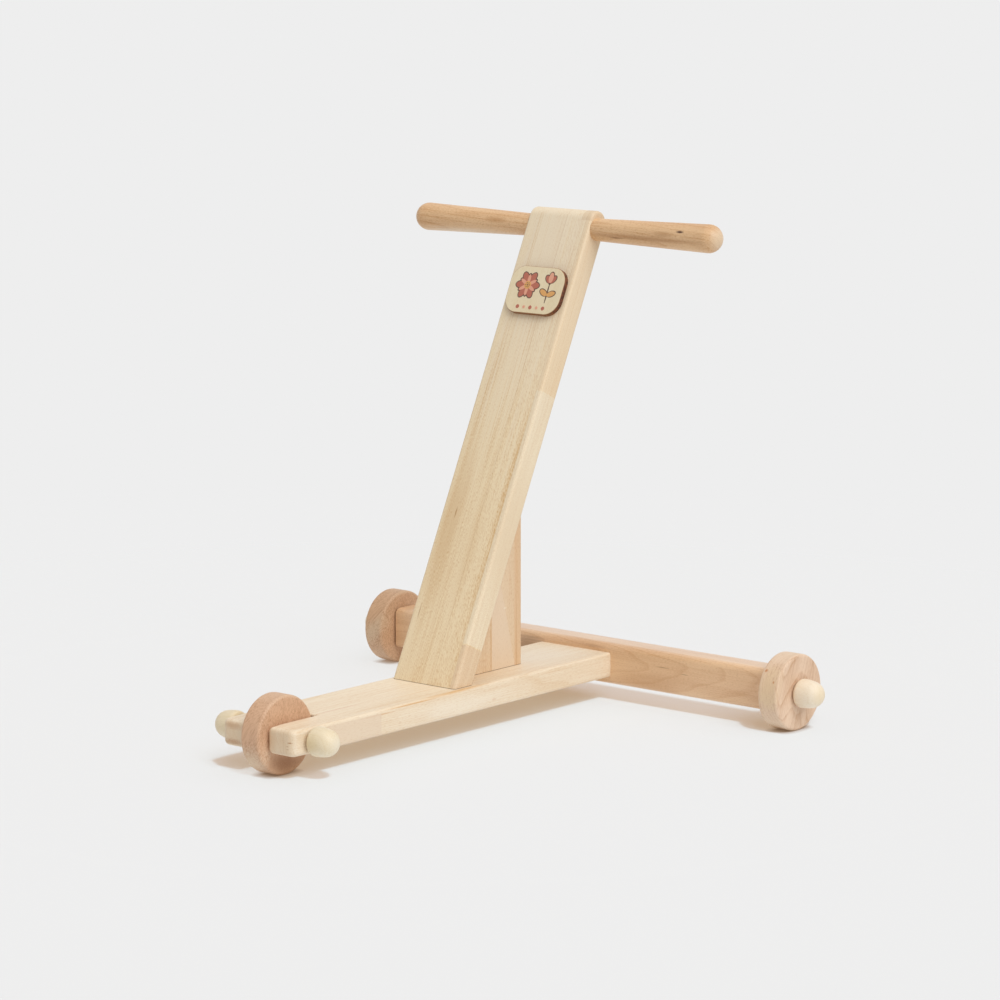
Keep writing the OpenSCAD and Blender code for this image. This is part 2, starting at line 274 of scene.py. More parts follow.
def on_axis(start, direction):
    """Places a turned shape: its axis runs from start along direction."""
    matrix = np.array(Vector(direction).to_track_quat("Z", "Y").to_matrix())
    return lambda points: points @ matrix.T + np.array(start)


def post_frame(points):
    """From the post's own (across, into the post from its front, along the post)."""
    x, v, w = points[..., 0], points[..., 1], points[..., 2]
    return np.stack([x, foot[1] + v * lean_cos + w * lean_sin,
                     foot[2] - v * lean_sin + w * lean_cos], -1)


def along_x(points):
    """Turns a slab whose section is seen along X: its (y, z, x) become the frame's (x, y, z)."""
    return points[:, [2, 0, 1]]


def drill(piece, holes):
    """Cuts round holes: each is a start, a direction and a profile of (depth, radius) rows."""
    points, faces = [], []
    for start, direction, profile in holes:
        profile = [(profile[0][0], 0), *profile, (profile[-1][0], 0)]
        p, f = turned(profile, DRILL_SEGMENTS)
        first = sum(len(q) for q in points)
        faces += [[first + i for i in face] for face in f]
        points.append(on_axis(start, direction)(p))
    cutter = new_object("cutter", np.vstack(points), faces)
    tidy_faces(cutter.data)
    cut = piece.modifiers.new("holes", "BOOLEAN")
    cut.object, cut.operation, cut.solver, cut.use_self = cutter, "DIFFERENCE", "EXACT", True
    bpy.context.view_layer.update()
    made = piece.evaluated_get(bpy.context.evaluated_depsgraph_get())
    done = bpy.data.meshes.new_from_object(made)
    piece.modifiers.clear()
    piece.data = done
    bpy.data.objects.remove(cutter)
    tidy_faces(done)


def shank_hole(start, direction):
    """The hole for a screw's shank alone, beyond its head."""
    narrow = SCREW_R + SCREW_CLEAR
    return start, direction, [(SCREW_HEAD_H, narrow), (SCREW_LEN + END_ROOM, narrow)]


def screw_hole(start, direction, sink):
    """The hole for a sunk screw: a wide part for its head, then the shank's own width."""
    head = [(-sink, PLUG_HOLE_R), (SCREW_RIM, PLUG_HOLE_R),
            (SCREW_RIM, SCREW_HEAD_R + SCREW_CLEAR)]
    return start, direction, head + shank_hole(start, direction)[2]


def dowel_hole(start, direction, length, radius, before=END_ROOM, after=END_ROOM):
    """The hole for a dowel, a little wider than it is and a little longer at both ends."""
    return start, direction, [(-before, radius + GLUE_GAP), (length + after, radius + GLUE_GAP)]


# Materials

def linear(code):
    """The linear colour of an sRGB hex code."""
    parts = [int(code[i:i + 2], 16) / 255 for i in (1, 3, 5)]
    return [*(p / 12.92 if p <= 0.04045 else ((p + 0.055) / 1.055) ** 2.4 for p in parts), 1.0]


# How a Mix node mixes colours: its A turns into its B as its factor goes from 0 to 1
COLOURS = {"out": 2, "data_type": "RGBA", "clamp_factor": True}


def add(tree, kind, inputs, out=0, stops=(), **settings):
    """Adds one node. inputs gives each socket a value, a hex colour, or the output that it is
    linked to. stops are the places and hex colours of a colour ramp. Returns the output named
    by out, or all of them when out is None."""
    node = tree.nodes.new("ShaderNode" + kind)
    for key, value in settings.items():
        setattr(node, key, value)
    for key, value in inputs.items():
        if isinstance(value, bpy.types.NodeSocket):
            tree.links.new(value, node.inputs[key])
        else:
            node.inputs[key].default_value = linear(value) if isinstance(value, str) else value
    for i, (place, code) in enumerate(stops):
        ramp = node.color_ramp.elements
        stop = ramp[i] if i < 2 else ramp.new(place)
        stop.position, stop.color = place, linear(code)
    return node.outputs if out is None else node.outputs[out]


def new_material(name):
    """An empty node material: its tree and its Principled shader."""
    material = bpy.data.materials.new(name)
    material.use_nodes = True
    return material, material.node_tree, material.node_tree.nodes["Principled BSDF"]


def stretched(tree, vector, size, detail=2.0, out=0):
    """Noise whose grains have about the given size along each axis, in the vector's unit."""
    scaled = add(tree, "VectorMath", {0: vector, 1: size}, operation="DIVIDE")
    return add(tree, "TexNoise", {"Vector": scaled, "Scale": 1.0, "Detail": detail}, out=out)


def centred(tree, value, scale, base=0.0):
    """base + scale (value - 0.5)."""
    lower = add(tree, "Math", {0: value, 1: 0.5}, operation="SUBTRACT")
    return add(tree, "Math", {0: lower, 1: scale, 2: base}, operation="MULTIPLY_ADD")


# Where the edge of a mark starts and ends, as a share of its size
BLOB_EDGE = (0.35, 1.1)
BLOCK_EDGE = (0.995, 1.0)
# How unevenly a blob's edge runs
RAGGED = 1.6


def mark_mask(tree, grain, ragged, shape, centre, size, amount):
    """Where one mark lies: 0 outside, amount inside. A blob is an ellipsoid with a soft and
    ragged edge, a block is a box with a sharp one, a wedge is the lower left half of a box,
    seen along X. Size is half the extent along each axis."""
    off = add(tree, "VectorMath", {0: grain, 1: centre}, operation="SUBTRACT")
    off = add(tree, "VectorMath", {0: off, 1: size}, operation="DIVIDE")
    if shape == "blob":
        away = add(tree, "VectorMath", {0: off}, operation="LENGTH", out="Value")
        away = add(tree, "Math", {0: ragged, 1: away}, operation="ADD")
        near, far = BLOB_EDGE
    else:
        sides = add(tree, "VectorMath", {0: off}, operation="ABSOLUTE")
        sides = add(tree, "SeparateXYZ", {0: sides}, out=None)
        away = add(tree, "Math", {0: sides["X"], 1: sides["Y"]}, operation="MAXIMUM")
        away = add(tree, "Math", {0: away, 1: sides["Z"]}, operation="MAXIMUM")
        near, far = BLOCK_EDGE
    if shape == "wedge":
        off = add(tree, "SeparateXYZ", {0: off}, out=None)
        slope = add(tree, "Math", {0: off["Y"], 1: off["Z"]}, operation="ADD")
        slope = add(tree, "Math", {0: slope, 1: 1.0}, operation="ADD")
        away = add(tree, "Math", {0: away, 1: slope}, operation="MAXIMUM")
    return add(tree, "MapRange", {"Value": away, "From Min": near, "From Max": far,
                                  "To Min": amount, "To Max": 0.0})


# Sizes of what is seen in wood. Three sizes are two across the grain and one along it.
BEND_SIZE_MM = (34, 34, 190)
BEND_MM = (16, 16, 0)
STAVE_SHIFT_MM = (24, 24, 900)
GLUE_LINE_HALF_MM = 0.2
FOOT_SHADE_HALF = 0.5 * MM
PORE_DEPTH = 0.12 * MM
# How much each pattern changes the share of the dark wood colour at strength 1
BASE_SHARE = 0.18
STREAK_DEPTH = 2.2
CLOUD_DEPTH = 2.6
FLECK_DEPTH = 2.2
# How dark a glue line is, and how dark the band at a foot is, which is the joint with painted
# shade in its crease; how far roughness varies, and how deep a pore is beside a streak's relief
GLUE_LINE_AMOUNT = 0.3
FOOT_SHADE_AMOUNT = 0.7
ROUGH_SPREAD = 0.16
PORE_RELIEF = -0.3


def wood(name, origin, way, light, dark, fleck, pith_mm=(40, 60), ring_mm=3.2, taper=0.02,
         rings=0.5, streaks=0.5, streak_mm=(0.9, 60), flecks=0.5, fleck_mm=(0.5, 3.2),
         fleck_turn=0, pores=0.15, tone=0.4, cloud_mm=(14, 95), across=(), joints=0.5,
         end=("#B08A60", 0.2), marks=(), foot_joint_shade=False, rough=0.55, lacquer=0.0):
    """Sanded pale hardwood under a thin oil finish. Object coordinates are turned so that z
    runs along the grain, and are then in millimetres.

    Growth rings are cones round the pith, bent by slow noise, so long faces show lines and
    arches and end grain shows arcs. Streaks are noise stretched along the grain, clouds the
    same on a larger scale. Flecks are a weave of short dashes, as many paler as darker, and the
    darkest of them are open pores. Each _mm pair is the size across and along the grain. across
    lists the places of glue lines, beyond which the grain starts afresh, as in jointed board.
    End grain soaks up the finish, so it has a tone of its own. marks are knots, mineral streaks,
    pieces of other staves, and patches of painted light and painted shade. The band at a piece's
    foot is the joint with the board, with painted shade in its crease. lacquer is the weight of a
    clear coat on top."""
    turn, axis = way
    material, tree, shader = new_material(name)
    where = add(tree, "TexCoord", {}, out="Object")
    whole = add(tree, "Mapping", {"Vector": where, "Location": origin, "Rotation": turn,
                                  "Scale": (MM, MM, MM)}, vector_type="TEXTURE")
    grain, line, chance = whole, None, None
    if across:
        side, stave, line = add(tree, "SeparateXYZ", {0: whole}, out="X"), 0.0, 0.0
        for place in across:
            beyond = add(tree, "Math", {0: side, 1: place}, operation="GREATER_THAN")
            stave = add(tree, "Math", {0: beyond, 1: stave}, operation="ADD")
            near = add(tree, "Math", {0: side, 1: place, 2: GLUE_LINE_HALF_MM},
                       operation="COMPARE")
            line = add(tree, "Math", {0: near, 1: line}, operation="MAXIMUM")
        chance = add(tree, "TexWhiteNoise", {"W": stave}, out="Color", noise_dimensions="1D")
        shift = add(tree, "VectorMath", {0: chance, 1: STAVE_SHIFT_MM}, operation="MULTIPLY")
        grain = add(tree, "VectorMath", {0: whole, 1: shift}, operation="ADD")

    bend = stretched(tree, grain, BEND_SIZE_MM, out="Color")
    bent = add(tree, "VectorMath", {0: bend, 1: BEND_MM, 2: grain}, operation="MULTIPLY_ADD")
    flat = add(tree, "VectorMath", {0: bent, 1: (1, 1, 0)}, operation="MULTIPLY")
    away = add(tree, "VectorMath", {0: flat, 1: (*pith_mm, 0)}, operation="DISTANCE", out="Value")
    along = add(tree, "SeparateXYZ", {0: bent}, out="Z")
    away = add(tree, "Math", {0: along, 1: taper, 2: away}, operation="MULTIPLY_ADD")
    turns = add(tree, "Math", {0: away, 1: ring_mm}, operation="DIVIDE")
    year = add(tree, "Math", {0: turns}, operation="FRACT")
    ring = add(tree, "ValToRGB", {"Fac": year},
               stops=[(0, "#000000"), (0.72, "#6A6A6A"), (0.93, "#FFFFFF"), (1, "#000000")])
    streak = stretched(tree, grain, (streak_mm[0], *streak_mm), 3.0)
    cloud = stretched(tree, grain, (cloud_mm[0], *cloud_mm))
    dashes = add(tree, "VectorRotate", {"Vector": grain, "Angle": math.radians(fleck_turn)},
                 rotation_type="Y_AXIS")
    dash = stretched(tree, dashes, (fleck_mm[0], *fleck_mm), 1.0)
    pore = add(tree, "ValToRGB", {"Fac": dash}, stops=[(0.56, "#000000"), (0.70, "#FFFFFF")])

    # The share of the dark wood colour at each point
    share = add(tree, "Math", {0: ring, 1: rings, 2: BASE_SHARE}, operation="MULTIPLY_ADD")
    for source, depth in ((streak, STREAK_DEPTH * streaks), (cloud, CLOUD_DEPTH * tone),
                          (dash, FLECK_DEPTH * flecks)):
        share = centred(tree, source, depth, share)
    if across:
        share = centred(tree, chance, joints, share)
    colour = add(tree, "Mix", {"Factor": share, "A": light, "B": dark}, **COLOURS)
    normal = add(tree, "TexCoord", {}, out="Normal")
    facing = add(tree, "VectorMath", {0: normal, 1: axis}, operation="DOT_PRODUCT", out="Value")
    facing = add(tree, "Math", {0: facing}, operation="ABSOLUTE")
    ends = add(tree, "MapRange", {"Value": facing, "From Min": 0.55, "From Max": 0.95,
                                  "To Min": 0.0, "To Max": end[1]})
    colour = add(tree, "Mix", {"Factor": ends, "A": colour, "B": end[0]}, **COLOURS)
    ragged = centred(tree, streak, RAGGED)
    for shape, centre, size, code, amount in marks:
        mask = mark_mask(tree, whole, ragged, shape, centre, size, amount)
        colour = add(tree, "Mix", {"Factor": mask, "A": colour, "B": code}, **COLOURS)
    spots = add(tree, "Math", {0: pore, 1: pores}, operation="MULTIPLY")
    colour = add(tree, "Mix", {"Factor": spots, "A": colour, "B": fleck}, **COLOURS)
    if line:
        line = add(tree, "Math", {0: line, 1: GLUE_LINE_AMOUNT}, operation="MULTIPLY")
        colour = add(tree, "Mix", {"Factor": line, "A": colour, "B": fleck}, **COLOURS)
    # A thin dark band where the piece meets the board's top: the joint, with painted shade in its
    # crease
    if foot_joint_shade:
        height = add(tree, "SeparateXYZ", {0: where}, out="Z")
        low = add(tree, "Math", {0: height, 1: board_high[2], 2: FOOT_SHADE_HALF},
                  operation="COMPARE")
        low = add(tree, "Math", {0: low, 1: FOOT_SHADE_AMOUNT}, operation="MULTIPLY")
        colour = add(tree, "Mix", {"Factor": low, "A": colour, "B": "#5E4128"}, **COLOURS)
    tree.links.new(colour, shader.inputs["Base Color"])

    sheen = add(tree, "Math", {0: streak, 1: ROUGH_SPREAD, 2: rough - ROUGH_SPREAD / 2},
                operation="MULTIPLY_ADD")
    tree.links.new(sheen, shader.inputs["Roughness"])
    relief = add(tree, "Math", {0: pore, 1: PORE_RELIEF, 2: streak}, operation="MULTIPLY_ADD")
    bump = add(tree, "Bump", {"Strength": 0.25, "Distance": PORE_DEPTH, "Height": relief},
               out="Normal")
    tree.links.new(bump, shader.inputs["Normal"])
    shader.inputs["IOR"].default_value = 1.5
    shader.inputs["Coat Weight"].default_value = lacquer
    shader.inputs["Coat Roughness"].default_value = 0.3
    return material


# How a piece's grain runs: the turn of its coordinates, and its direction
UPRIGHT = ((0, 0, 0), (0, 0, 1))
ALONG_Y = ((math.radians(-90), 0, 0), (0, 1, 0))
ALONG_X = ((0, math.radians(90), 0), (1, 0, 0))
LEANING = ((-post_lean, 0, 0), ALONG_POST)


def wheel_way(back, out):
    """A wheel's grain: upright, then tilted back and out to the right by so many degrees."""
    b, o = math.radians(back), math.radians(out)
    return (-b, o, 0), (math.cos(b) * math.sin(o), math.sin(b), math.cos(b) * math.cos(o))


# Planed rubberwood in three staves, oiled: cream, with an orange streak along its right arris and
# a piece of another stave in its side. The pale blob on its top under the leaning post is painted
# light, and the dark block on the end wall of its fork's slot is painted shade.
board_wood = wood(
    "board_rubberwood", (0, 0, board_low[2]), ALONG_Y, "#EFDFC6", "#DFC29D", "#B98E5E",
    pith_mm=(-95, 38), ring_mm=5.5, rings=0.3, streaks=0.45, flecks=0.4, fleck_mm=(0.6, 4),
    tone=0.45, across=(9.5, 29), joints=0.3, end=("#D2B693", 0.4), rough=0.5,
    marks=(("blob", (30, -22, -95), (1.0, 4, 70), "#D9AE72", 0.3),
           ("blob", (40, -18.3, -120), (3, 0.7, 26), "#CF9C5C", 0.6),
           ("blob", (40, -20.6, -78), (3, 0.8, 34), "#CF9C5C", 0.75),
           ("blob", (38.5, -21.6, -20), (2.5, 1.6, 45), "#D3A263", 0.75),
           ("blob", (18, -22, -60), (1.0, 3, 60), "#E2BE90", 0.5),
           ("blob", (10, -22, -140), (0.8, 3, 34), "#DDB498", 0.7),
           ("block", (40, -9, -150), (3, 10.5, 33), "#E4CFB6", 0.75),
           ("blob", (40, -7, 27), (3, 1.0, 3), "#CF9F6C", 0.8),
           ("blob", (40, -18, 110), (3, 0.8, 45), "#D8B27F", 0.2),
           # Painted light on the top under the leaning post
           ("blob", (0, -22, 120), (42, 4, 75), "#F3E8D6", 0.65),
           ("blob", (40, -7, -20), (4, 10, 80), "#F2E7D4", 0.55),
           # Painted shade on the end wall of the fork's slot, behind the wheel
           ("block", (8, -8, -164), (4, 12.5, 1.5), "#93693F", 0.8),
           ("blob", (35.5, -12, -223), (2.4, 0.8, 3), "#A9794C", 0.8),
           ("blob", (33.5, -9, -223), (1.8, 0.5, 3), "#B88D62", 0.6),
           ("blob", (33.5, -6.5, -223), (1.8, 0.5, 3), "#B88D62", 0.5),
           ("blob", (17, -11, -224), (4.5, 9, 4), "#D8BC99", 0.5),
           ("blob", (-27, -18, -224), (12, 4, 3), "#C49B74", 0.6),
           ("blob", (-27, -4, -224), (12, 3.5, 3), "#BC9069", 0.7)))
# Planed rubberwood in staves, oiled: straw-coloured, with short slanting brown dashes and
# a finger joint's change of tone low on its side
post_wood = wood(
    "post_rubberwood", tuple(foot), LEANING, "#F3E0BD", "#D3AA72", "#B98C55",
    pith_mm=(30, -120), ring_mm=9, rings=0.12, streaks=0.42, streak_mm=(1.1, 100), flecks=0.9,
    fleck_mm=(0.4, 2.4), pores=0.08, fleck_turn=20, tone=0.55, cloud_mm=(9, 170),
    across=(8, 29.5), joints=0.2, end=("#C4A27A", 0.3), foot_joint_shade=True, rough=0.55,
    marks=(("block", (33, 11, 0), (3.6, 14, 39.5), "#DCBFA3", 0.5),
           ("block", (33, 11, 154), (3.6, 14, 114), "#F1E6D0", 0.5),
           ("blob", (-22, 0, 140), (11, 8, 75), "#CDA36B", 0.4),
           ("blob", (8, 0, 120), (9, 8, 60), "#D2AB77", 0.2),
           ("blob", (35, 11, 142), (3, 30, 62), "#D9BC96", 0.3),
           ("blob", (0, 10, 430), (60, 40, 220), "#F5E8D2", 0.65),
           ("block", (33, 11, 369), (3.6, 14, 101), "#EBD3B2", 0.5),
           ("block", (30, 11, 432), (6, 14, 8.5), "#D9BE9D", 0.5),
           ("blob", (-19, 0, 152), (0.9, 3, 6), "#A8763F", 0.7),
           ("blob", (-27, 0, 62), (0.8, 3, 9), "#B08350", 0.6)))
# Planed rubberwood, oiled: light brown, with a paler wedge between two brown lines
gusset_wood = wood(
    "gusset_rubberwood", tuple(gusset_low), UPRIGHT, "#E8D2B4", "#D3AC80", "#A87C50",
    pith_mm=(-30, 48), ring_mm=7, taper=0.08, rings=0.25, streaks=0.4, flecks=0.7,
    fleck_mm=(0.5, 3), tone=0.4, foot_joint_shade=True, rough=0.55,
    marks=(("blob", (20, 84, 60), (60, 16, 110), "#D6AE80", 0.2),
           ("wedge", (20, 69.2, 63), (60, 16.8, 66), "#CB9A5E", 0.45),
           ("wedge", (20, 69.75, 61), (60, 15.75, 62.3), "#EAD6BD", 0.8),
           ("block", (20, 92, 40), (60, 7.5, 200), "#D9AD7E", 0.4),
           ("blob", (20, 87, 20), (60, 0.8, 60), "#B98350", 0.3),
           ("blob", (20, 71.8, 52.6), (60, 2.4, 0.9), "#F6EAD6", 0.6)))
# Planed beech under clear lacquer: warm brown, with growth rings and a soft shine. The large dark
# blob on its front, left of the board, is painted shade.
beam_wood = wood(
    "beam_beech", (0, beam_low[1], beam_low[2]), ALONG_X, "#EAC49B", "#C7925D", "#8A5B33",
    pith_mm=(-14, -26), ring_mm=4.5, taper=0.09, rings=0.3, streaks=0.3, flecks=0.3,
    fleck_mm=(0.4, 2.5), tone=0.5, end=("#B58A5E", 0.5), rough=0.42, lacquer=1.0,
    marks=(("blob", (-22.5, 0, 98), (0.4, 3, 8), "#8A5A33", 0.7),
           ("blob", (-19.3, 0, 122), (0.4, 3, 5), "#8A5A33", 0.7),
           ("blob", (-32, 0, 22), (1.6, 3, 14), "#A36F3E", 0.4),
           ("blob", (-8, 0, 84), (10, 4, 40), "#C08A52", 0.4),
           # Painted shade on the front, left of the board
           ("blob", (-20, 0, -54), (16, 5, 24), "#A0743F", 0.75)))
# Turned beech under clear lacquer: orange brown, with fine dark flecks and a soft shine. The pale
# blob under the left grip is painted light, as from the floor below.
grip_wood = wood(
    "grip_beech", tuple(handle_centre), ALONG_X, "#EBC599", "#C28B53", "#84552F",
    pith_mm=(22, -9), ring_mm=4.5, taper=0.06, rings=0.35, streaks=0.4, flecks=0.45,
    fleck_mm=(0.5, 2), tone=0.5, end=("#F0DCC0", 0.6), rough=0.4,
    marks=(("blob", (-5, -10.4, 133), (1.2, 3, 4.2), "#4E2A16", 1.0),
           ("blob", (4.5, -9.5, 63), (0.9, 3, 9), "#7C4B26", 0.8),
           ("blob", (3, -10, 100), (2.6, 6, 66), "#AD7844", 0.55),
           ("blob", (-2, -10, 115), (2.6, 5, 15), "#A87440", 0.45),
           ("blob", (-3, -9, -72), (3, 6, 14), "#B98149", 0.5),
           # Painted light under the left grip
           ("blob", (10, -5, -110), (5, 7, 70), "#EAD9C1", 0.6)))
# Turned birch caps, oiled: creamy, with hardly any grain. The pale blob low on each cap is painted
# light, as from the floor below.
CAP_GRAIN = dict(pith_mm=(3, 24), ring_mm=4, rings=0.2, streaks=0.2, flecks=0.1, tone=0.3,
                 end=("#E3CE9F", 0.3), rough=0.4)
cap_woods = {
    "front": wood(
        "cap_birch_yellow", (0, front_y, axle_z), ALONG_X, "#EBDCBE", "#DCC69C", "#BF9D68",
        marks=(("blob", (0, -13, 48), (9, 6, 9), "#D4B97E", 0.35),
               # Painted light on the cap's low side
               ("blob", (11, -5, 54), (9, 12, 16), "#F8ECD2", 0.5),
               ("blob", (0, 2, 66), (12, 12, 8), "#F1E8D6", 0.6)), **CAP_GRAIN),
    "rear": wood(
        "cap_birch_pale", (0, -front_y, axle_z), ALONG_X, "#F3E5CF", "#E6D1AF", "#C7A473",
        # Painted light on the cap's low side
        marks=(("blob", (11, -5, 247), (9, 12, 16), "#FBF1DE", 0.5),), **CAP_GRAIN)}
# Sawn and sanded beech wheels, lightly oiled: pinkish brown, with dense short dashes. The right
# rear one is paler and shows the arcs of its growth rings. The left rear one is darker, as painted
# shade, and the front one has a dark blob of painted shade low on its right face, under the prong.
WHEEL_GRAIN = dict(pith_mm=(15, 90), ring_mm=7, rings=0.12, streaks=0.85, streak_mm=(1.1, 45),
                   flecks=0.45, fleck_mm=(0.45, 3.5), pores=0.08, tone=0.3,
                   end=("#DCC0A3", 0.4), rough=0.55)
PALE_WHEEL_GRAIN = WHEEL_GRAIN | dict(pith_mm=(60, 0), ring_mm=3.4, rings=0.5, streaks=0.5,
                                      tone=0.6, taper=0.15, end=("#EDD8BE", 0.5))
wheel_woods = {
    "front_wheel": wood(
        "wheel_beech_pink", (0, front_y, axle_z), wheel_way(10, 32), "#D8B08F", "#AC7F5D",
        "#86593A", marks=(("blob", (7, -22, -22), (14, 12, 22), "#E2CEB2", 0.6),
                          # Painted shade low on the right face, under the prong
                          ("blob", (20, 2, -16), (6, 22, 13), "#8E5C36", 0.6)), **WHEEL_GRAIN),
    "rear_wheel_left": wood(
        # A darker copy of the wheel wood, as painted shade
        "wheel_beech_painted_shade", (0, -front_y, axle_z), wheel_way(20, 38), "#D2AB87", "#A57856",
        "#86593A", marks=(("blob", (-176, 17, -140), (9, 14, 22), "#E0C9AA", 0.5),),
        **WHEEL_GRAIN),
    "rear_wheel_right": wood(
        "wheel_beech_pale", (0, -front_y, axle_z), wheel_way(18, 0), "#E7CBB1", "#C8A07D",
        "#A8774E", marks=(("blob", (224, -31, -6), (14, 7, 30), "#EAD0AB", 0.7),
                          ("blob", (218, -31, 12), (1.7, 4, 1.8), "#BF7536", 0.8),
                          ("blob", (229, -31, 3), (1.4, 4, 1.5), "#BF7A40", 0.8)),
        **PALE_WHEEL_GRAIN)}
# Beech dowel stock, hidden inside or seen only as thin dark rings in the gaps
dowel_wood = wood("dowel_beech", (0, 0, axle_z), ALONG_X, "#DDBB90", "#BE935F", "#8E6238",
                  rough=0.6)


def plaque_ply():
    """Laser-cut birch plywood. The face has fine straight grain. The rim is burnt by the
    laser: dark brown stripes along the cut, redder where they are thin, paler and more amber
    towards the bottom. The eased edge between them is amber."""
    material = wood("plaque_birch_ply", tuple(plaque_centre), LEANING, "#F0E2C2", "#DCC596",
                    "#B7925F", pith_mm=(0, -200), ring_mm=9, rings=0.1, streaks=0.3,
                    flecks=0.1, tone=0.3, rough=0.5)
    tree = material.node_tree
    shader = tree.nodes["Principled BSDF"]
    ply = shader.inputs["Base Color"].links[0].from_socket
    where = add(tree, "TexCoord", {}, out="Object")
    soot = stretched(tree, where, (1.4 * MM, 3 * MM, 3 * MM))
    burnt = add(tree, "ValToRGB", {"Fac": soot}, stops=[(0.38, "#3E1D10"), (0.62, "#7C4527")])
    height = add(tree, "SeparateXYZ", {0: where}, out="Z")
    lower = add(tree, "MapRange", {"Value": height, "From Min": plaque_low[2] + 5 * MM,
                                   "From Max": plaque_low[2], "To Max": 0.45})
    burnt = add(tree, "Mix", {"Factor": lower, "A": burnt, "B": "#B98048"}, **COLOURS)
    normal = add(tree, "TexCoord", {}, out="Normal")
    front = add(tree, "VectorMath", {0: normal, 1: plaque_normal}, operation="DOT_PRODUCT",
                out="Value")
    amber = add(tree, "MapRange", {"Value": front, "From Min": 0.995, "From Max": 0.8})
    colour = add(tree, "Mix", {"Factor": amber, "A": ply, "B": "#9A6330"}, **COLOURS)
    rim = add(tree, "MapRange", {"Value": front, "From Min": 0.75, "From Max": 0.45})
    colour = add(tree, "Mix", {"Factor": rim, "A": colour, "B": burnt}, **COLOURS)
    tree.links.new(colour, shader.inputs["Base Color"])
    return material


def ink(name, code):
    """Opaque matt ink printed on wood. It lets a little of the paler ground through as
    specks, so it is never quite even."""
    material, tree, shader = new_material(name)
    where = add(tree, "TexCoord", {}, out="Object")
    speck = stretched(tree, where, (0.6 * MM, 0.6 * MM, 0.6 * MM), 1.0)
    amount = add(tree, "Math", {0: speck, 1: 0.25}, operation="MULTIPLY")
    colour = add(tree, "Mix", {"Factor": amount, "A": code, "B": "#D9C08F"}, **COLOURS)
    tree.links.new(colour, shader.inputs["Base Color"])
    shader.inputs["Roughness"].default_value = 0.6
    return material


def zinc_steel():
    """Zinc-plated steel screws: pale bluish metal whose gloss varies over about 1.4 mm."""
    material, tree, shader = new_material("screw_zinc_steel")
    where = add(tree, "TexCoord", {}, out="Object")
    size = MM / 0.7
    cloud = stretched(tree, where, (size, size, size))
    rough = add(tree, "Math", {0: cloud, 1: 0.25, 2: 0.2}, operation="MULTIPLY_ADD")
    colour = add(tree, "ValToRGB", {"Fac": cloud}, stops=[(0.3, "#A9ADB0"), (0.7, "#C6C9CB")])
    tree.links.new(colour, shader.inputs["Base Color"])
    tree.links.new(rough, shader.inputs["Roughness"])
    shader.inputs["Metallic"].default_value = 1.0
    return material


# Pieces

def smooth_step(x):
    """3x^2 - 2x^3 between 0 and 1, flat outside."""
    x = np.clip(x, 0, 1)
    return x * x * (3 - 2 * x)


def base_board():
    """A slab whose outline, seen from above, has a fork at its front end. Its edges are
    rounded more at the fork's tips. The back end is square, against the cross-beam."""
    tip_y, back_y, half = board_low[1], beam_low[1], board_w / 2
    slot_half = wheel_w / 2 + FORK_PLAY
    slot_y = front_y + wheel_r + SLOT_GAP
    c, outer, inner = SLOT_CORNER, PRONG_OUTER_CORNER, PRONG_INNER_CORNER
    side_y = np.linspace(back_y, tip_y + outer, BOARD_SIDE_POINTS)
    slot_ys = np.linspace(tip_y + inner, slot_y - c, BOARD_SLOT_POINTS)
    left = np.vstack([np.column_stack([0 * side_y - half, side_y])[:-1],
                      arc((-half + outer, tip_y + outer), outer, 180, 270, PRONG_OUTER_STEPS),
                      arc((-slot_half - inner, tip_y + inner), inner, 270, 360,
                          PRONG_INNER_STEPS),
                      np.column_stack([0 * slot_ys - slot_half, slot_ys])[1:-1],
                      arc((-slot_half + c, slot_y - c), c, 180, 90, SLOT_CORNER_STEPS)])
    outline = np.vstack([left, left[::-1] * [-1, 1]])
    weights = np.ones(len(outline))
    weights[-1] = 0
    nose = smooth_step((tip_y + NOSE_BLEND - outline[:, 1]) / (NOSE_BLEND - outer))
    radius = BOARD_ROUND + (NOSE_ROUND - BOARD_ROUND) * nose
    points, faces = slab(slab_rings(outline, weights, board_low[2], board_high[2], radius, radius))
    piece = new_piece("board", points, faces, lambda p: p, "frame", board_wood)
    holes = [dowel_hole((-half, front_y, axle_z), (1, 0, 0), board_w, axle_r, OVERRUN, OVERRUN)]
    holes += [screw_hole(start, ALONG_POST, SCREW_SINK + board_t * lean_sin / lean_cos)
              for start in post_screw_starts()]
    holes += [screw_hole(start, (0, 0, 1), SCREW_SINK + OVERRUN)
              for start in gusset_screw_starts()]
    drill(piece, holes + beam_joint_holes())
    return piece


def post_screw_starts():
    """Where the heads of the post's two screws lie, under the board's top."""
    depth = post_t / 2 * lean_sin / lean_cos - board_t / lean_cos + SCREW_SINK
    screw_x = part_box("post_screws")[1].x - SCREW_HEAD_R
    return [post_frame(np.array([x, post_t / 2, depth])) for x in (-screw_x, screw_x)]


def gusset_screw_starts():
    """Where the heads of the gusset's two screws lie."""
    low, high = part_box("gusset_screws")
    return [(0, y, low.z) for y in (low.y + SCREW_HEAD_R, high.y - SCREW_HEAD_R)]


def beam_joint_holes():
    """The holes that base board and cross-beam share: two for screws and two for dowels."""
    low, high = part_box("beam_screws")
    screw_x = high.x - SCREW_HEAD_R
    holes = [screw_hole((x, high.y, axle_z), (0, -1, 0), SCREW_SINK + OVERRUN)
             for x in (-screw_x, screw_x)]
    low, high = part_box("beam_dowels")
    radius = (high.z - low.z) / 2
    dowel_x = high.x - radius
    return holes + [dowel_hole((x, low.y, axle_z), (0, 1, 0), high.y - low.y, radius)
                    for x in (-dowel_x, dowel_x)]


